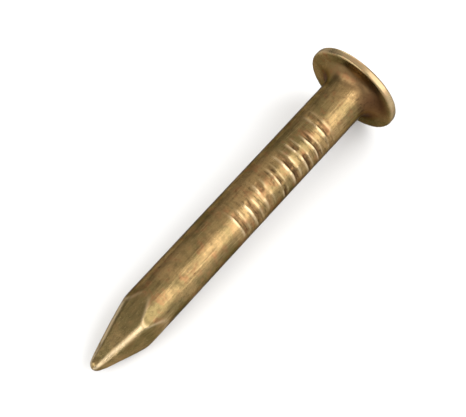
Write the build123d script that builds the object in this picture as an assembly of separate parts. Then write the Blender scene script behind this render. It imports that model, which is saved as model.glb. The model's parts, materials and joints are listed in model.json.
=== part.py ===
from build123d import *
import math
import os

# A small round-head wire nail, headed and pointed from one length of drawn wire.
# It is modelled with its axis along +Z, the head's flat bearing ring at z = 0 and the point
# below, and is then laid down on the surface z = 0, with its head towards +X.
# All sizes are in millimetres.

# Driving dimensions
WIRE_DIAMETER = 1.2
OVERALL_LENGTH = 10.0
HEAD_DIAMETER = 2.5
RIM_THICKNESS = 0.2
DOME_RISE = 0.3
RIM_EDGE_RADIUS = 0.06
FLARE_RADIUS = 0.38
POINT_LENGTH = 2.1
TIP_WIDTH = 0.2
FACET_BULGE = 0.045
GRIP_COUNT = 8
GRIP_PITCH = 0.45
GRIP_START = 1.45
GRIP_WIDTH = 0.14
GRIP_DEPTH = 0.04
GRIP_HALF_ANGLE = 65.0
DIE_ANGLE = 45.0

# Sizes that follow from them
WIRE_RADIUS = WIRE_DIAMETER / 2
HEAD_RADIUS = HEAD_DIAMETER / 2
HEAD_HEIGHT = RIM_THICKNESS + DOME_RISE
TIP_Z = HEAD_HEIGHT - OVERALL_LENGTH
SHOULDER_Z = TIP_Z + POINT_LENGTH
BLANK_END_Z = TIP_Z - WIRE_DIAMETER
CUTTER_REACH = 2 * HEAD_DIAMETER

# Search for the resting tilt, in degrees
STEEPEST_TILT = 10.0
TILT_STEP = 0.002


def headed_wire():
    """The wire with its domed head, as one turned shape, still without a point."""
    edge = RIM_EDGE_RADIUS
    bend = edge * math.sqrt(0.5)
    dome_edge = HEAD_RADIUS - edge
    flare_edge = WIRE_RADIUS + FLARE_RADIUS
    flare_mid = WIRE_RADIUS + FLARE_RADIUS * (1 - math.sqrt(0.5))
    dome_radius = (dome_edge**2 + DOME_RISE**2) / (2 * DOME_RISE)
    dome_turn = math.asin(dome_edge / dome_radius) / 2
    dome_mid_x = dome_radius * math.sin(dome_turn)
    dome_mid_z = HEAD_HEIGHT - dome_radius * (1 - math.cos(dome_turn))
    with BuildPart() as wire:
        with BuildSketch(Plane.XZ):
            with BuildLine():
                ThreePointArc((0, HEAD_HEIGHT), (dome_mid_x, dome_mid_z), (dome_edge, RIM_THICKNESS))
                ThreePointArc(
                    (dome_edge, RIM_THICKNESS),
                    (dome_edge + bend, RIM_THICKNESS - edge + bend),
                    (HEAD_RADIUS, RIM_THICKNESS - edge),
                )
                Line((HEAD_RADIUS, RIM_THICKNESS - edge), (HEAD_RADIUS, edge))
                ThreePointArc((HEAD_RADIUS, edge), (dome_edge + bend, edge - bend), (dome_edge, 0))
                Line((dome_edge, 0), (flare_edge, 0))
                ThreePointArc(
                    (flare_edge, 0),
                    (flare_mid, WIRE_RADIUS - flare_mid),
                    (WIRE_RADIUS, -FLARE_RADIUS),
                )
                Line((WIRE_RADIUS, -FLARE_RADIUS), (WIRE_RADIUS, BLANK_END_Z))
                Line((WIRE_RADIUS, BLANK_END_Z), (0, BLANK_END_Z))
                Line((0, BLANK_END_Z), (0, HEAD_HEIGHT))
            make_face()
        revolve(axis=Axis.Z)
    return wire.part


def point_envelope():
    """What two opposite faces of the pointing cutters leave: a bar that narrows to the tip's width."""
    side = WIRE_RADIUS
    tip = TIP_WIDTH / 2
    middle = ((side + tip) / 2 + FACET_BULGE, (SHOULDER_Z + TIP_Z) / 2)
    with BuildPart() as bar:
        with BuildSketch(Plane.XZ):
            with BuildLine():
                Line((0, TIP_Z), (tip, TIP_Z))
                ThreePointArc((tip, TIP_Z), middle, (side, SHOULDER_Z))
                Line((side, SHOULDER_Z), (CUTTER_REACH, SHOULDER_Z))
                Line((CUTTER_REACH, SHOULDER_Z), (CUTTER_REACH, CUTTER_REACH))
                Line((CUTTER_REACH, CUTTER_REACH), (0, CUTTER_REACH))
                Line((0, CUTTER_REACH), (0, TIP_Z))
            make_face()
            mirror(about=Plane.YZ)
        extrude(amount=CUTTER_REACH, both=True)
    return bar.part


def grip_cutter(z, side):
    """One tooth of a gripping die: a ring with a V section, off centre so that it bites on one side."""
    lean = GRIP_DEPTH / (1 - math.cos(math.radians(GRIP_HALF_ANGLE)))
    bite = WIRE_RADIUS - GRIP_DEPTH + lean
    outer = bite + GRIP_DEPTH + lean
    flank = GRIP_WIDTH / 2 * (outer - bite) / GRIP_DEPTH
    with BuildPart() as ring:
        with BuildSketch(Plane.XZ):
            with BuildLine():
                Polyline((bite, 0), (outer, flank), (outer, -flank), close=True)
            make_face()
        revolve(axis=Axis.Z)
    return Pos(-side * lean, 0, z) * ring.part


def grip_cutters():
    """Both dies' teeth, which close on the wire along the die direction."""
    rows = [-GRIP_START - GRIP_PITCH * i for i in range(GRIP_COUNT)]
    return [Rot(0, 0, DIE_ANGLE) * grip_cutter(z, side) for z in rows for side in (1, -1)]


def tilted(shape, tilt):
    """The nail laid along X with its head at +X, its axis raised towards the head by tilt degrees."""
    return Rot(0, 90 - tilt, 0) * shape


def resting_tilt(shape):
    """The tilt at which the head's rim and the shank both touch a level surface."""
    below_head = Plane.XY.offset(-FLARE_RADIUS)
    head = split(shape, below_head, keep=Keep.TOP)
    shank = split(shape, below_head, keep=Keep.BOTTOM)
    low, high = 0.0, STEEPEST_TILT
    while high - low > TILT_STEP:
        middle = (low + high) / 2
        if tilted(head, middle).bounding_box().min.Z < tilted(shank, middle).bounding_box().min.Z:
            low = middle
        else:
            high = middle
    return low


def laid_down(shape):
    """The nail at rest on the surface z = 0, centred over the origin."""
    lying = tilted(shape, resting_tilt(shape))
    box = lying.bounding_box()
    return Pos(-box.center().X, -box.center().Y, -box.min.Z) * lying


def nail():
    """The finished nail, upright on its point."""
    cutters = point_envelope()
    blank = headed_wire() & cutters & (Rot(0, 0, 90) * cutters)
    return blank - grip_cutters()


os.makedirs("parts", exist_ok=True)
export_step(laid_down(nail()), "parts/nail.step")
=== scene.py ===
import json
import math

import bmesh
import bpy
import numpy as np
from mathutils import Matrix, Vector


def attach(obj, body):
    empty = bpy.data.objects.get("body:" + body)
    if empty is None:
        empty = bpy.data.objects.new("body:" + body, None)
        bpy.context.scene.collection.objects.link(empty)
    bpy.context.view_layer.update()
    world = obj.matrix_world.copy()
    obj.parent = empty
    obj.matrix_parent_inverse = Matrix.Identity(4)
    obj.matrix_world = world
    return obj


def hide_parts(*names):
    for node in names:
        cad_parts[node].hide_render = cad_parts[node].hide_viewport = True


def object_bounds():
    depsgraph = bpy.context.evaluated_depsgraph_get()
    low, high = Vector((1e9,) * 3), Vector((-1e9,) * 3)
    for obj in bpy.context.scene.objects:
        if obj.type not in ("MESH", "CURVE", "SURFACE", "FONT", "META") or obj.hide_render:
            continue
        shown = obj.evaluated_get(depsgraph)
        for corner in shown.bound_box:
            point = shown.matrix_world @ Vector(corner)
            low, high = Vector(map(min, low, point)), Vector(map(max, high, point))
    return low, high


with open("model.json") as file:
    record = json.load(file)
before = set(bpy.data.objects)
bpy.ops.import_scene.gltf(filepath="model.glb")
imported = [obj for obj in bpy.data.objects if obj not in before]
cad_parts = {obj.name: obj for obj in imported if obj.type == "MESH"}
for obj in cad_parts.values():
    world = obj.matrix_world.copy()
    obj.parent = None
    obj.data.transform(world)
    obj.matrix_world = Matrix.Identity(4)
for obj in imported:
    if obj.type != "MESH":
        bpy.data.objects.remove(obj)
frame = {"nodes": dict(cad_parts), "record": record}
cad_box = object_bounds()

# The nail is built in its own frame, in millimetres: s runs along its axis from the head's bearing
# ring towards the point, r is the distance from that axis, and theta turns about it, from the top of
# the lying nail towards -Y.
MM = 0.001
NODE = "nail"


def packed_mount(name):
    return next(m for m in frame["record"]["mounts"] if m["name"] == name)


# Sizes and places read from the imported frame
SHANK = packed_mount("shank")
AXIS = Vector(SHANK["axis"]).normalized()
SHANK_MIDDLE = Vector(SHANK["pos_m"])
SEAT_PLACE = Vector(packed_mount("head_seat")["pos_m"])
SEAT_CENTRE = SHANK_MIDDLE + AXIS * (SEAT_PLACE - SHANK_MIDDLE).dot(AXIS)
ALONG = [(v.co - SEAT_CENTRE).dot(AXIS) / MM for v in frame["nodes"][NODE].data.vertices]
CROWN = min(ALONG)
TIP = max(ALONG)
WIRE_R = SHANK["dims"]["r_mm"]
HEAD_R = (cad_box[1].y - cad_box[0].y) / 2 / MM
PLAIN_MIDDLE = (SHANK_MIDDLE - SEAT_CENTRE).length / MM
FLARE_END = PLAIN_MIDDLE - SHANK["dims"]["length_mm"] / 2
SHOULDER = PLAIN_MIDDLE + SHANK["dims"]["length_mm"] / 2

# Head
RIM_TOP = -0.2
RIM_EDGE_R = 0.065
DOME_EDGE_R = 1.14
DOME_EDGE_ANGLE = -80
DOME_MARGIN_R = 0.01
DOME_MARGIN_S = 0.05
DOME_OFFSET = 0.022
DOME_WAVE = 0.006
RIM_WAVE = 0.012
RIM_BEND = 0.012
SEAT_INSET = 0.02

# Shank: how far the drawn wire is from round, as an oval and as waves, and where from the flare's
# end that sets in
OVAL = 0.004
OVAL_TURN = 0.7
WIRE_WAVE = 0.003
WIRE_FADE = (-0.1, 0.3)

# Grip marks; each RANGE is a mark's least and greatest share of the size above it, and a lip's side
# is 1 towards the point and -1 towards the head
GRIP_START = 1.45
GRIP_PITCH = 0.45
GRIP_COUNT = 8
GRIP_FLAT = 0.008
GRIP_FADE_IN = 0.25
GRIP_FADE_OUT = 0.3
RUBBED_SHARES = (0.3, 1.1)
DIE_ANGLE = math.radians(45)
GRIP_SPREAD = math.radians(70)
SPREAD_RANGE = (0.75, 1.1)
GRIP_DEPTH = 0.04
DEPTH_RANGE = (0.55, 1.1)
GRIP_HALF_WIDTH = 0.055
WIDTH_RANGE = (0.7, 1.15)
PLACE_ERROR = 0.05
TURN_ERROR = 0.2
MARK_WANDER = 0.014
MARK_LEAN = 0.03
FULL_DEPTH_SHARE = 0.35
FAINTEST = 0.25
UNBROKEN = (-0.75, 0.1)
LIP_HEIGHTS = {1: 0.3, -1: 0.15}
LIP_PLACE = 1.7
LIP_WIDTH = 0.7

# Point; the faces' normals are in degrees of theta
TIP_HALF_WIDTH = 0.095
TIP_ROUND = 0.11
TIP_BLEND = 0.3
FACET_BULGE = 0.045
FACE_NORMALS = (-6, 83, 180, 274)
FACE_STARTS = (0.0, 0.1, 0.0, -0.08)
FACE_WIDTHS = (1.0, 1.15, 1.0, 1.25)
FACE_WAVE = 0.004
FACE_HALF_TURN = 1.45
LEAST_COSINE = 0.05
UNCUT = 9
SHOULDER_MARGIN = 0.3
CUT_FADE = (0.002, 0.03)
EDGE_SOFTNESS = 0.01
RIDGE_SOFTNESS = 0.36
RIDGE_SHARE = 1.05
# RIDGE_WIDTH also sets the width of the painted highlight along the ridges.
RIDGE_WIDTH = 0.14
SHOULDER_WEAR = 0.5
SHOULDER_WIDTH = 0.014
BURR = 0.006
BURR_AMOUNT = (0.6, 0.4)
FLOOR_SIDE = (0.8, 0.4)

# Darker colour in the crease under the head, and a patch of painted shade there on one side; each AMOUNT
# here and above is a mean and how far its ripple changes it
UNDERSIDE = -0.02
FLARE_START = 0.1
CREASE_DARK_RADII = (1.05, 0.75)
CREASE_DARK_AMOUNT = (0.5, 0.3)
PAINTED_SHADE_SIDE = math.radians(72)
PAINTED_SHADE_HALF_TURN = 0.55
PAINTED_SHADE_START = 0.12
PAINTED_SHADE_REACH = 0.2
PAINTED_SHADE_RADII = (1.2, 0.9)
PAINTED_SHADE_AMOUNT = (1.35, 0.35)

# Wear, and where the brushing of the crown fades out
LIP_WEAR_SHARE = 0.2
RIM_WEAR = 0.5
RIM_WEAR_WIDTH = 0.03
RIM_WEAR_END = 0.05
CROWN_FADE = 0.15

# Mesh: points in a ring, numbers of rings (STEPS) and distances between rings (STEP)
SEGMENTS = 160
DOME_STEPS = 44
POLE_ANGLE = -89.6
RIM_STEPS = 10
SEAT_STEPS = 8
FLARE_STEPS = 26
FIRST_STEP = 0.03
TIP_STEPS = 16
LAST_TURN = 0.49 * math.pi
PLAIN_STEP = 0.035
GRIP_STEP = 0.0125
POINT_STEP = 0.02
GRIP_MARGIN = 0.2

RNG = np.random.default_rng(12)


def smoothstep(low, high, x):
    share = np.clip((x - low) / (high - low), 0, 1)
    return share * share * (3 - 2 * share)


def bump(x, width):
    return np.exp(-((x / width) ** 2))


def ripple(theta, s, turns, waves_per_mm, count):
    """A smooth random field, from about -1 to 1, that closes on itself round the axis."""
    field = np.zeros_like(theta)
    for _ in range(count):
        around = RNG.integers(0, turns + 1)
        along = RNG.uniform(-waves_per_mm, waves_per_mm) * 2 * math.pi
        field = field + np.sin(around * theta + along * s + RNG.uniform(0, 2 * math.pi))
    return field / math.sqrt(count / 2) / 2


def ring_ripple(theta, turns, count):
    """The same, but alike all along the axis."""
    return ripple(theta, np.zeros_like(theta), turns=turns, waves_per_mm=0, count=count)


def arc(centre, radius, start, stop, steps):
    """Points of a circle's arc as (s, r) pairs; angles are in degrees from the direction of growing r."""
    turns = np.radians(np.linspace(start, stop, steps))
    return np.stack([centre[0] + radius * np.sin(turns), centre[1] + radius * np.cos(turns)], axis=1)


def crown_profile():
    height = RIM_TOP - CROWN
    ball = (DOME_EDGE_R**2 + height**2) / (2 * height)
    turn = math.degrees(math.asin(DOME_EDGE_R / ball))
    return arc((CROWN + ball, 0), ball, POLE_ANGLE, turn - 90, DOME_STEPS)


def rim_profile():
    edge = RIM_EDGE_R
    top = arc((RIM_TOP + edge, HEAD_R - edge), edge, DOME_EDGE_ANGLE, 0, RIM_STEPS)
    return np.concatenate([top, arc((-edge, HEAD_R - edge), edge, 0, 90, RIM_STEPS)])


def underside_profile():
    flare = FLARE_END
    radii = np.linspace(HEAD_R - RIM_EDGE_R - SEAT_INSET, WIRE_R + flare, SEAT_STEPS)
    ring = np.stack([np.zeros(SEAT_STEPS), radii], axis=1)
    hollow = arc((flare, WIRE_R + flare), flare, -90, -180, FLARE_STEPS)
    return np.concatenate([ring, hollow[1:]])


def shank_profile():
    """The wire from the flare to the tip, with the rings closer together where there is more to show."""
    grip_end = GRIP_START + GRIP_PITCH * GRIP_COUNT
    steps = [
        np.arange(FLARE_END + FIRST_STEP, GRIP_START - GRIP_MARGIN, PLAIN_STEP),
        np.arange(GRIP_START - GRIP_MARGIN, grip_end, GRIP_STEP),
        np.arange(grip_end, SHOULDER - SHOULDER_MARGIN, PLAIN_STEP),
        np.arange(SHOULDER - SHOULDER_MARGIN, TIP - TIP_ROUND, POINT_STEP),
        TIP - TIP_ROUND * np.cos(np.linspace(0, LAST_TURN, TIP_STEPS)),
    ]
    s = np.concatenate(steps)
    return np.stack([s, np.full(len(s), WIRE_R)], axis=1)


def surface_grid():
    """s, r and theta of the plain turned nail, one row per ring."""
    rings = np.concatenate([crown_profile(), rim_profile(), underside_profile(), shank_profile()])
    theta = np.linspace(0, 2 * math.pi, SEGMENTS, endpoint=False)
    s = np.repeat(rings[:, :1], SEGMENTS, axis=1)
    r = np.repeat(rings[:, 1:], SEGMENTS, axis=1)
    return s, r, np.repeat(theta[None], len(rings), axis=0)


def angle_from(theta, centre):
    return np.abs((theta - centre + math.pi) % (2 * math.pi) - math.pi)


def with_mark(change, s, theta, row_place, die_angle):
    """The change of radius with one tooth's bite added: a wandering groove with a lip on each side."""
    place = row_place + RNG.uniform(-PLACE_ERROR, PLACE_ERROR)
    spread = GRIP_SPREAD * RNG.uniform(*SPREAD_RANGE)
    centre = die_angle + RNG.uniform(-TURN_ERROR, TURN_ERROR)
    bite = 1 - smoothstep(FULL_DEPTH_SHARE * spread, spread, angle_from(theta, centre))
    wander = MARK_WANDER * ripple(theta, s, turns=7, waves_per_mm=0.4, count=5)
    wander = wander + RNG.uniform(-MARK_LEAN, MARK_LEAN) * np.sin(theta - DIE_ANGLE)
    unbroken = smoothstep(*UNBROKEN, ring_ripple(theta, turns=11, count=6))
    bite = bite * (FAINTEST + (1 - FAINTEST) * unbroken)
    depth = GRIP_DEPTH * RNG.uniform(*DEPTH_RANGE)
    width = GRIP_HALF_WIDTH * RNG.uniform(*WIDTH_RANGE)
    x = s - place - wander
    change = change - depth * bite * bump(x, width)
    for side, height in LIP_HEIGHTS.items():
        change = change + height * depth * bite * bump(x - side * LIP_PLACE * width, LIP_WIDTH * width)
    return change


def grip_marks(s, theta):
    """The change of radius where the two gripping dies bit, and where their faces rubbed."""
    change = np.zeros_like(s)
    rubbed = np.zeros_like(s)
    last_row = GRIP_START + GRIP_PITCH * (GRIP_COUNT - 1)
    zone = smoothstep(GRIP_START - GRIP_FADE_IN, GRIP_START, s)
    zone = zone * (1 - smoothstep(last_row, last_row + GRIP_FADE_OUT, s))
    full, none = (share * GRIP_SPREAD for share in RUBBED_SHARES)
    for side in (0, math.pi):
        die_angle = DIE_ANGLE + side
        face = 1 - smoothstep(full, none, angle_from(theta, die_angle))
        rubbed = np.maximum(rubbed, zone * face)
        change = change - GRIP_FLAT * zone * face
        for row in range(GRIP_COUNT):
            change = with_mark(change, s, theta, GRIP_START + GRIP_PITCH * row, die_angle)
    return change, rubbed


def facet_distance(s, start, tip_width):
    """How far from the axis a pointing cutter's face stands."""
    share = np.clip((s - start) / (TIP - start), 0, 1)
    return WIRE_R + (tip_width - WIRE_R) * share + 4 * FACET_BULGE * share * (1 - share)


def soft_smaller(a, b, softness):
    """The smaller of two values, blended where they differ by less than the softness."""
    share = np.clip(0.5 + 0.5 * (b - a) / softness, 0, 1)
    return b + (a - b) * share - softness * share * (1 - share)


def pinched(s, theta):
    """The radius left by the four cutter faces, and how near each place is to a ridge between two."""
    reaches = []
    for normal, start, width in zip(FACE_NORMALS, FACE_STARTS, FACE_WIDTHS):
        turn = angle_from(theta, math.radians(normal))
        distance = facet_distance(s, SHOULDER + start, TIP_HALF_WIDTH * width)
        distance = distance + FACE_WAVE * ripple(theta, s, turns=2, waves_per_mm=0.6, count=5)
        reach = distance / np.maximum(np.cos(turn), LEAST_COSINE)
        reaches.append(np.where((turn < FACE_HALF_TURN) & (s > SHOULDER - SHOULDER_MARGIN), reach, UNCUT))
    nearest, second = np.sort(np.stack(reaches), axis=0)[:2]
    softness = np.minimum(RIDGE_SOFTNESS, RIDGE_SHARE * nearest)
    return soft_smaller(nearest, second, softness), bump(second - nearest, RIDGE_WIDTH)


def pointed(s, r, theta):
    """The radius after the pointing cutters, how near each place is to an edge, and what was cut."""
    pyramid, ridge = pinched(s, theta)
    cut = smoothstep(*CUT_FADE, r - pyramid)
    below = smoothstep(*FLOOR_SIDE, angle_from(theta, math.pi))
    outline = SHOULDER_WEAR * bump(pyramid - r, SHOULDER_WIDTH)
    outline = outline * smoothstep(SHOULDER, SHOULDER + SHOULDER_MARGIN, s)
    # The ridge part of this edge mask becomes a painted highlight through the pale wear colour.
    edge = np.maximum(ridge * cut, outline)
    r = soft_smaller(r, pyramid, EDGE_SOFTNESS)
    mean, change = BURR_AMOUNT
    amount = mean + change * ripple(theta, s, turns=6, waves_per_mm=1.5, count=6)
    r = r + BURR * edge * (1 - ridge) * (1 - below) * amount
    blend = smoothstep(TIP - TIP_BLEND, TIP - TIP_ROUND / 2, s)
    r = r + (r.mean(axis=1, keepdims=True) - r) * blend
    left = np.clip((TIP - s) / TIP_ROUND, 0, 1)
    return r * np.sqrt(np.clip(1 - (1 - left) ** 2, 0, 1)), edge, cut


def uneven_head(s, r, theta, on_dome):
    """The nail's s and r with a wavy, slightly bent rim and a faintly uneven dome."""
    rim = smoothstep(DOME_EDGE_R, HEAD_R, r)
    r = r * (1 - 0.5 * RIM_WAVE * rim * (1 + ring_ripple(theta, turns=5, count=7)))
    s = s + RIM_BEND * rim * ring_ripple(theta, turns=4, count=5)
    return s + on_dome * DOME_WAVE * ripple(theta, r, turns=3, waves_per_mm=0.7, count=9), r


def wire_error(s, theta):
    """The change of radius that the drawn wire has because it isn't quite round."""
    before, after = WIRE_FADE
    plain = smoothstep(FLARE_END + before, FLARE_END + after, s)
    waves = WIRE_WAVE * ripple(theta, s, turns=4, waves_per_mm=0.35, count=9)
    return plain * (OVAL * np.cos(2 * theta + OVAL_TURN) + waves - OVAL)


def crease_darkening_and_painted_shade(s, r, theta):
    """Darker colour in the crease under the head, in patches, and one darker patch of painted shade there
    on one side, which may pass 1.
    """
    patches = ripple(theta, r, turns=3, waves_per_mm=0.8, count=7)
    below = s > UNDERSIDE
    mean, change = CREASE_DARK_AMOUNT
    everywhere = smoothstep(FLARE_END, FLARE_START, s) * below * smoothstep(*CREASE_DARK_RADII, r)
    everywhere = everywhere * (mean + change * patches)
    mean, change = PAINTED_SHADE_AMOUNT
    # A patch of painted shade in the crease, on one side of the head only.
    painted_shade_zone = below * smoothstep(FLARE_END + PAINTED_SHADE_REACH, PAINTED_SHADE_START, s) * smoothstep(*PAINTED_SHADE_RADII, r)
    painted_shade = bump(angle_from(theta, PAINTED_SHADE_SIDE), PAINTED_SHADE_HALF_TURN) * (mean + change * patches)
    return np.maximum(everywhere, painted_shade_zone * painted_shade)


def nail_surface():
    """Points of the nail in its own frame, and what each one's surface went through, with painted shade
    under the head and a painted highlight on the point's ridges.
    """
    s, r, theta = surface_grid()
    on_dome = (r < DOME_EDGE_R + DOME_MARGIN_R) & (s < RIM_TOP + DOME_MARGIN_S)
    s, r = uneven_head(s, r, theta, on_dome)
    error = wire_error(s, theta)
    marks, rubbed = grip_marks(s, theta)
    r, edge, cut = pointed(s, r + error + marks, theta)

    bitten = np.clip(-(marks + GRIP_FLAT) / GRIP_DEPTH, 0, 1)
    lips = np.clip((marks + GRIP_FLAT * rubbed) / (LIP_WEAR_SHARE * GRIP_DEPTH), 0, 1)
    rim_wear = RIM_WEAR * bump(r - HEAD_R, RIM_WEAR_WIDTH) * (s < RIM_WEAR_END)
    surface = {
        # The hollow mask holds tarnishing in the grip grooves, a darker crease under the head and the
        # patch of painted shade there.
        "hollow": np.maximum(bitten, crease_darkening_and_painted_shade(s, r, theta)),
        # The pale wear mask along the point's ridges is also a painted highlight.
        "wear_and_painted_highlight": np.maximum(np.maximum(edge, lips), rim_wear),
        "rubbed": rubbed,
        "cut": cut,
        "wire": smoothstep(FLARE_START, FLARE_END, s),
        "face": on_dome * smoothstep(DOME_EDGE_R, DOME_EDGE_R - CROWN_FADE, r),
    }
    shift = on_dome * DOME_OFFSET * (1 - (r / DOME_EDGE_R) ** 4)
    return np.stack([r * np.cos(theta) + shift, r * np.sin(theta), s], axis=-1), surface


def ring_faces(rings):
    """Quads between neighbouring rings, and a fan at each end."""
    first = np.arange(rings - 1)[:, None] * SEGMENTS + np.arange(SEGMENTS)[None]
    second = np.arange(rings - 1)[:, None] * SEGMENTS + (np.arange(SEGMENTS)[None] + 1) % SEGMENTS
    quads = np.stack([first, second, second + SEGMENTS, first + SEGMENTS], axis=-1).reshape(-1, 4)
    crown, tip = rings * SEGMENTS, rings * SEGMENTS + 1
    last = (rings - 1) * SEGMENTS
    fans = []
    for i in range(SEGMENTS):
        j = (i + 1) % SEGMENTS
        fans.append((crown, j, i))
        fans.append((tip, last + i, last + j))
    return quads.tolist() + fans


def to_row_frame():
    """The matrix from the nail's own frame, in millimetres, to the row frame in metres."""
    up = (Vector((0, 0, 1)) - AXIS * AXIS.z).normalized()
    side = up.cross(AXIS)
    if side.y > 0:
        side = -side
    turn = Matrix((up, side, AXIS)).transposed()
    return Matrix.Translation(SEAT_CENTRE) @ turn.to_4x4() @ Matrix.Scale(MM, 4)


def add_values(mesh, name, values):
    layer = mesh.attributes.new(name, "FLOAT", "POINT")
    layer.data.foreach_set("value", np.asarray(values, np.float32))


def face_outwards(mesh):
    """Turns the fronts of this one mesh's faces outwards."""
    shape = bmesh.new()
    shape.from_mesh(mesh)
    bmesh.ops.recalc_face_normals(shape, faces=shape.faces)
    shape.to_mesh(mesh)
    shape.free()


def make_nail():
    grid, surface = nail_surface()
    ends = np.array([[0, 0, CROWN], [0, 0, TIP]])
    ends[0, :2] = grid[0, :, :2].mean(axis=0)
    points = np.concatenate([grid.reshape(-1, 3), ends])
    mesh = bpy.data.meshes.new("nail_body")
    mesh.from_pydata(points.tolist(), [], ring_faces(len(grid)))
    own = mesh.attributes.new("own_frame", "FLOAT_VECTOR", "POINT")
    own.data.foreach_set("vector", points.astype(np.float32).ravel())
    for name, values in surface.items():
        add_values(mesh, name, np.append(values.ravel(), [values[0, 0], values[-1, 0]]))
    mesh.transform(to_row_frame())
    mesh.polygons.foreach_set("use_smooth", [True] * len(mesh.polygons))
    mesh.validate()
    face_outwards(mesh)
    made = bpy.data.objects.new("nail_body", mesh)
    bpy.context.scene.collection.objects.link(made)
    return made


# Places of the Mix node's sockets for colours, because several of its sockets share each name
MIX_SHARE = 0
MIX_FIRST = 6
MIX_SECOND = 7
MIX_RESULT = 2


class Tree:
    """A short way to write a material's nodes."""

    def __init__(self, material):
        self.tree = material.node_tree
        self.tree.nodes.clear()

    def add(self, kind, inputs=None, **settings):
        node = self.tree.nodes.new(kind)
        for name, value in settings.items():
            setattr(node, name, value)
        for name, value in (inputs or {}).items():
            self.put(node.inputs[name], value)
        return node

    def put(self, socket, value):
        if isinstance(value, bpy.types.NodeSocket):
            self.tree.links.new(value, socket)
        else:
            socket.default_value = value

    def math(self, operation, a, b, clamp=False):
        node = self.add("ShaderNodeMath", operation=operation, use_clamp=clamp)
        self.put(node.inputs[0], a)
        self.put(node.inputs[1], b)
        return node.outputs[0]

    def times(self, product, *factors):
        for factor in factors:
            product = self.math("MULTIPLY", product, factor)
        return product

    def plus(self, total, *terms):
        for term in terms:
            total = self.math("ADD", total, term)
        return total

    def without(self, value, share):
        """1 less a share of the value."""
        return self.math("SUBTRACT", 1.0, self.times(value, share))

    def noise(self, vector, scale, detail, rough, bend=0.0):
        settings = {"Scale": scale, "Detail": detail, "Roughness": rough, "Distortion": bend}
        return self.add("ShaderNodeTexNoise", {"Vector": vector, **settings}).outputs["Fac"]

    def ramp(self, value, low, high):
        limits = {"From Min": low, "From Max": high}
        node = self.add("ShaderNodeMapRange", {"Value": value, **limits}, interpolation_type="SMOOTHSTEP")
        return node.outputs["Result"]

    def mix(self, share, a, b):
        node = self.add("ShaderNodeMix", data_type="RGBA")
        self.put(node.inputs[MIX_SHARE], share)
        self.put(node.inputs[MIX_FIRST], a)
        self.put(node.inputs[MIX_SECOND], b)
        return node.outputs[MIX_RESULT]

    def stretched(self, vector, scale, turn=0.0):
        node = self.add("ShaderNodeMapping", {"Vector": vector, "Scale": scale, "Rotation": (0, 0, turn)})
        return node.outputs["Vector"]

    def attribute(self, name, output="Fac"):
        return self.add("ShaderNodeAttribute", attribute_name=name).outputs[output]


# Finish: the metal's reflection colours, and the tint that it takes at a glancing angle
BRASS = (0.28, 0.188, 0.084, 1)
PALE_BRASS = (0.51, 0.37, 0.195, 1)
# Pale colour of the wear, which on the point's ridges is also a painted highlight
BARE_BRASS_AND_HIGHLIGHT = (0.6, 0.47, 0.3, 1)
OLIVE = (0.165, 0.124, 0.052, 1)
COPPER = (0.28, 0.118, 0.054, 1)
# The dark colour of the tarnishing, also used for the painted shade in the crease under the head
TARNISH_AND_SHADE_COLOUR = (0.036, 0.022, 0.010, 1)
EDGE_TINT = (0.255, 0.275, 0.32, 1)

# How much each thing counts for in the colour, the tarnishing with its painted shade, and the roughness
COPPER_BLOTCHES = 0.5
COPPER_HOLLOWS = 0.55
TARNISH_COVER = 0.8
BRIGHT_LINES = 0.3
BRIGHT_BRUSHING = 0.25
BARE_AND_HIGHLIGHT_COVER = 0.75
HOLLOW_TARNISH_AND_SHADE = 0.7
STREAK_TARNISH = 0.6
SPECK_TARNISH = 0.4
MOTTLE_TARNISH = 0.28
DIE_TARNISH = 0.65
BRUSH_TARNISH = 0.38
TARNISH_OFF_AT_WEAR_AND_HIGHLIGHT = 0.9
RUBBED_SMOOTH = 0.65
CUT_SMOOTH = 0.7
BASE_ROUGHNESS = 0.25
TARNISH_ROUGHNESS = 0.2
BLOTCH_ROUGHNESS = 0.08

# Relief: its depth in metres, its strength, and how much each texture counts for in it
RELIEF_DEPTH = 0.016 * MM
RELIEF_STRENGTH = 0.6
DRAWN_RELIEF = 0.6
FINE_DRAWN_RELIEF = 0.25
SPECK_RELIEF = 0.07
BRUSHED_RELIEF = 0.5
DIE_RELIEF = 1.1
CUT_RELIEF = 0.8

# How the textures are scaled and turned in the nail's own frame
ALONG_WIRE = (1, 1, 0.07)
FINE_ALONG_WIRE = (1, 1, 0.04)
ALONG_POINT = (1, 1, 0.12)
ROUND_WIRE = (1, 1, 6)
ACROSS_CROWN = (1, 0.06, 1)
BRUSH_TURN = 0.6

# The values that nail_surface() gives for every point
SURFACE_NAMES = ("hollow", "wear_and_painted_highlight", "rubbed", "cut", "wire", "face")


def finish_textures(tree):
    """The noise that the finish is mixed from, even or drawn out in the direction of the work."""
    own = tree.attribute("own_frame", "Vector")
    along_wire = tree.stretched(own, ALONG_WIRE)
    fine_along_wire = tree.stretched(own, FINE_ALONG_WIRE)
    along_point = tree.stretched(own, ALONG_POINT)
    round_wire = tree.stretched(own, ROUND_WIRE)
    across_crown = tree.stretched(own, ACROSS_CROWN, BRUSH_TURN)
    return {
        "clouds": tree.noise(own, scale=1.1, detail=4.0, rough=0.6),
        "blotches": tree.noise(own, scale=4.5, detail=5.0, rough=0.65),
        "mottle": tree.noise(own, scale=7.5, detail=3.0, rough=0.6),
        "specks": tree.noise(own, scale=18.0, detail=4.0, rough=0.65),
        "drawn": tree.noise(along_wire, scale=12.0, detail=5.0, rough=0.65),
        "fine_drawn": tree.noise(fine_along_wire, scale=40.0, detail=2.0, rough=0.5),
        "die_lines": tree.noise(round_wire, scale=3.2, detail=3.0, rough=0.6, bend=0.5),
        "cut_lines": tree.noise(along_point, scale=24.0, detail=3.0, rough=0.6),
        "brushed": tree.noise(across_crown, scale=16.0, detail=5.0, rough=0.65),
    }


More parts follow.
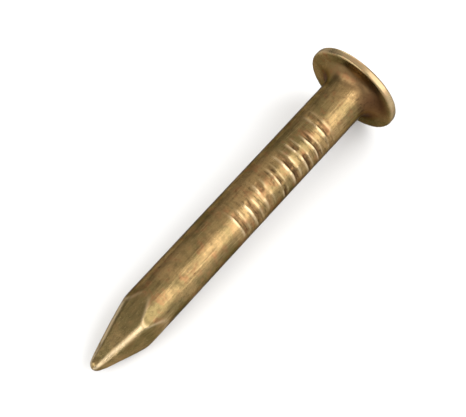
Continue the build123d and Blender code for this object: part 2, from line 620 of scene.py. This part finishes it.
def finish_masks(tree):
    """What each place went through, painted shade and highlight included, and two masks worked out from
    that.
    """
    mask = {name: tree.attribute(name) for name in SURFACE_NAMES}
    mask["bare_wire"] = tree.times(mask["wire"], tree.without(mask["rubbed"], RUBBED_SMOOTH))
    mask["smooth_cut"] = tree.without(mask["cut"], CUT_SMOOTH)
    return mask


def tarnish_and_shade_amount(tree, texture, mask):
    """How tarnished each place is, with the painted shade under the head added in, from 0 to 1."""
    streaks = tree.ramp(texture["drawn"], low=0.48, high=0.72)
    streaks = tree.times(streaks, STREAK_TARNISH, mask["bare_wire"])
    mottling = tree.ramp(texture["mottle"], low=0.48, high=0.62)
    mottling = tree.times(mottling, MOTTLE_TARNISH, mask["wire"])
    specks = tree.times(tree.ramp(texture["specks"], low=0.5, high=0.8), SPECK_TARNISH)
    stains = tree.times(tree.plus(specks, mottling), mask["smooth_cut"])
    die_stains = tree.ramp(texture["die_lines"], low=0.5, high=0.66)
    die_stains = tree.times(mask["rubbed"], die_stains, DIE_TARNISH)
    brush_streaks = tree.ramp(texture["brushed"], low=0.45, high=0.7)
    brush_streaks = tree.times(brush_streaks, BRUSH_TARNISH, mask["face"])
    # The hollow mask brings the painted shade under the head into the tarnishing.
    dark = tree.plus(tree.times(mask["hollow"], HOLLOW_TARNISH_AND_SHADE), streaks, stains)
    dark = tree.math("ADD", dark, tree.plus(die_stains, brush_streaks), clamp=True)
    return tree.math("SUBTRACT", dark, tree.times(mask["wear_and_painted_highlight"], TARNISH_OFF_AT_WEAR_AND_HIGHLIGHT), clamp=True)


def finish_colour(tree, texture, mask, tarnish_and_shade):
    """Brass that wanders to olive and copper, dark where it is tarnished and where shade is painted, and
    pale where it wears and where a highlight is painted on the ridges.
    """
    colour = tree.mix(tree.ramp(texture["clouds"], low=0.38, high=0.62), BRASS, OLIVE)
    copper = tree.ramp(texture["blotches"], low=0.5, high=0.68)
    copper = tree.times(copper, COPPER_BLOTCHES, mask["smooth_cut"])
    colour = tree.mix(copper, colour, COPPER)
    # Copper in the hollows, the patch of painted shade under the head included.
    colour = tree.mix(tree.times(mask["hollow"], COPPER_HOLLOWS), colour, COPPER)
    # Tarnishing and the painted shade under the head pull the colour dark.
    colour = tree.mix(tree.times(tarnish_and_shade, TARNISH_COVER), colour, TARNISH_AND_SHADE_COLOUR)
    lines = tree.ramp(texture["fine_drawn"], low=0.58, high=0.75)
    lines = tree.times(lines, BRIGHT_LINES, mask["bare_wire"])
    brushing = tree.ramp(texture["brushed"], low=0.5, high=0.28)
    brushing = tree.times(brushing, BRIGHT_BRUSHING, mask["face"])
    colour = tree.mix(tree.math("ADD", lines, brushing, clamp=True), colour, PALE_BRASS)
    # Pale wear, which along the point's ridges is also a painted highlight.
    return tree.mix(tree.times(mask["wear_and_painted_highlight"], BARE_AND_HIGHLIGHT_COVER), colour, BARE_BRASS_AND_HIGHLIGHT)


def finish_roughness(tree, texture, tarnish_and_shade):
    rough = tree.plus(tree.times(tarnish_and_shade, TARNISH_ROUGHNESS), BASE_ROUGHNESS)
    blotches = tree.ramp(texture["blotches"], low=0.35, high=0.7)
    return tree.plus(rough, tree.times(blotches, BLOTCH_ROUGHNESS))


def finish_height(tree, texture, mask):
    """The fine relief of the work: drawing, brushing, die and cutter lines, and specks."""
    fine = tree.times(texture["fine_drawn"], FINE_DRAWN_RELIEF)
    drawing = tree.plus(tree.times(texture["drawn"], DRAWN_RELIEF), fine)
    return tree.plus(
        tree.times(drawing, mask["bare_wire"]),
        tree.times(texture["specks"], SPECK_RELIEF),
        tree.times(texture["brushed"], mask["face"], BRUSHED_RELIEF),
        tree.times(texture["die_lines"], mask["rubbed"], DIE_RELIEF),
        tree.times(texture["cut_lines"], mask["cut"], CUT_RELIEF),
    )


def antique_brass():
    material = bpy.data.materials.new("antique_brass_plating")
    material.use_nodes = True
    tree = Tree(material)
    texture = finish_textures(tree)
    mask = finish_masks(tree)
    tarnish_and_shade = tarnish_and_shade_amount(tree, texture, mask)
    height = finish_height(tree, texture, mask)
    relief = {"Height": height, "Strength": RELIEF_STRENGTH, "Distance": RELIEF_DEPTH}
    surface = {
        "Base Color": finish_colour(tree, texture, mask, tarnish_and_shade),
        "Roughness": finish_roughness(tree, texture, tarnish_and_shade),
        "Metallic": 1.0,
        "Specular Tint": EDGE_TINT,
        "Normal": tree.add("ShaderNodeBump", relief).outputs["Normal"],
    }
    shader = tree.add("ShaderNodeBsdfPrincipled", surface)
    tree.add("ShaderNodeOutputMaterial", {"Surface": shader.outputs["BSDF"]})
    return material


# Stage and camera: lengths in metres, angles in degrees, the lens in millimetres
FLOOR_R = 0.12
FLOOR_SIDES = 128
FLOOR_COLOUR = (0.72, 0.74, 0.77, 1)
FLOOR_ROUGHNESS = 0.7
FLOOR_SHINE = 0.2
TENT_DIM = 0.25
TENT_BRIGHT = 1.2
TENT_AZIMUTH = 60.0
TENT_ELEVATION = 50.0
TENT_FALL = (-0.3, 0.9)
TENT_COLOUR = (1, 0.94, 0.85, 1)
WHITE = (1, 1, 1, 1)
CAMERA_AZIMUTH = -50.0
CAMERA_ELEVATION = 57.0
CAMERA_DISTANCE = 0.0455
CAMERA_RANGE = (0.002, 1.0)
LENS = 150.0
NAIL_MIDDLE = (cad_box[0] + cad_box[1]) / 2

# Lamps: how far off they stand, and the name, azimuth, elevation, width and height, and radiance of each
LAMP_REACH = 0.2
LAMPS = (
    ("key", 20, 37, (0.32, 0.2), 2.65),
    ("front", CAMERA_AZIMUTH, 25, (0.16, 0.1), 1.4),
    ("left", -115, 30, (0.2, 0.16), 3.2),
    ("back", 116, 15, (0.15, 0.1), 3.8),
)


def direction(azimuth, elevation):
    """From the nail towards a viewer at that azimuth and elevation."""
    turn, rise = math.radians(azimuth), math.radians(elevation)
    level = math.cos(rise)
    return Vector((math.sin(turn) * level, -math.cos(turn) * level, math.sin(rise)))


def aim(thing, azimuth, elevation, distance, target):
    """Places a lamp or camera in that direction from the target, looking back at it."""
    back = direction(azimuth, elevation)
    thing.location = target + back * distance
    thing.rotation_mode = "QUATERNION"
    thing.rotation_quaternion = back.to_track_quat("Z", "Y")


def make_floor():
    bpy.ops.mesh.primitive_circle_add(vertices=FLOOR_SIDES, radius=FLOOR_R, fill_type="NGON")
    floor = bpy.context.object
    floor.name = "floor"
    material = bpy.data.materials.new("pale_floor")
    material.use_nodes = True
    shader = material.node_tree.nodes["Principled BSDF"]
    shader.inputs["Base Color"].default_value = FLOOR_COLOUR
    shader.inputs["Roughness"].default_value = FLOOR_ROUGHNESS
    shader.inputs["Specular IOR Level"].default_value = FLOOR_SHINE
    floor.data.materials.append(material)


def make_lamp(name, azimuth, elevation, size, radiance):
    data = bpy.data.lights.new(name, "AREA")
    data.shape = "RECTANGLE"
    data.size, data.size_y = size
    data.energy = radiance * math.pi * size[0] * size[1]
    lamp = bpy.data.objects.new(name, data)
    bpy.context.scene.collection.objects.link(lamp)
    aim(lamp, azimuth, elevation, LAMP_REACH, NAIL_MIDDLE)


def make_world():
    """A light tent, brighter on the key lamp's side; to the camera its wall is plain white."""
    world = bpy.data.worlds.new("studio")
    bpy.context.scene.world = world
    world.use_nodes = True
    nodes, links = world.node_tree.nodes, world.node_tree.links
    tent = nodes["Background"]
    tent.inputs["Color"].default_value = TENT_COLOUR
    heading = nodes.new("ShaderNodeTexCoord")
    towards = nodes.new("ShaderNodeVectorMath")
    towards.operation = "DOT_PRODUCT"
    towards.inputs[1].default_value = direction(TENT_AZIMUTH, TENT_ELEVATION)
    links.new(heading.outputs["Generated"], towards.inputs[0])
    fall = nodes.new("ShaderNodeMapRange")
    fall.interpolation_type = "SMOOTHSTEP"
    links.new(towards.outputs["Value"], fall.inputs["Value"])
    fall.inputs["From Min"].default_value = TENT_FALL[0]
    fall.inputs["From Max"].default_value = TENT_FALL[1]
    fall.inputs["To Min"].default_value = TENT_DIM
    fall.inputs["To Max"].default_value = TENT_BRIGHT
    links.new(fall.outputs["Result"], tent.inputs["Strength"])
    wall = nodes.new("ShaderNodeBackground")
    wall.inputs["Color"].default_value = WHITE
    seen = nodes.new("ShaderNodeLightPath")
    mix = nodes.new("ShaderNodeMixShader")
    links.new(seen.outputs["Is Camera Ray"], mix.inputs[0])
    links.new(tent.outputs[0], mix.inputs[1])
    links.new(wall.outputs[0], mix.inputs[2])
    links.new(mix.outputs[0], nodes["World Output"].inputs["Surface"])


def make_camera():
    data = bpy.data.cameras.new("camera")
    data.lens = LENS
    data.clip_start, data.clip_end = CAMERA_RANGE
    camera = bpy.data.objects.new("camera", data)
    bpy.context.scene.collection.objects.link(camera)
    aim(camera, CAMERA_AZIMUTH, CAMERA_ELEVATION, CAMERA_DISTANCE, NAIL_MIDDLE)
    bpy.context.scene.camera = camera


nail = make_nail()
nail.data.materials.append(antique_brass())
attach(nail, "root")
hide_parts(NODE)
make_floor()
for lamp_values in LAMPS:
    make_lamp(*lamp_values)
make_world()
make_camera()
bpy.context.scene.view_settings.view_transform = "Standard"
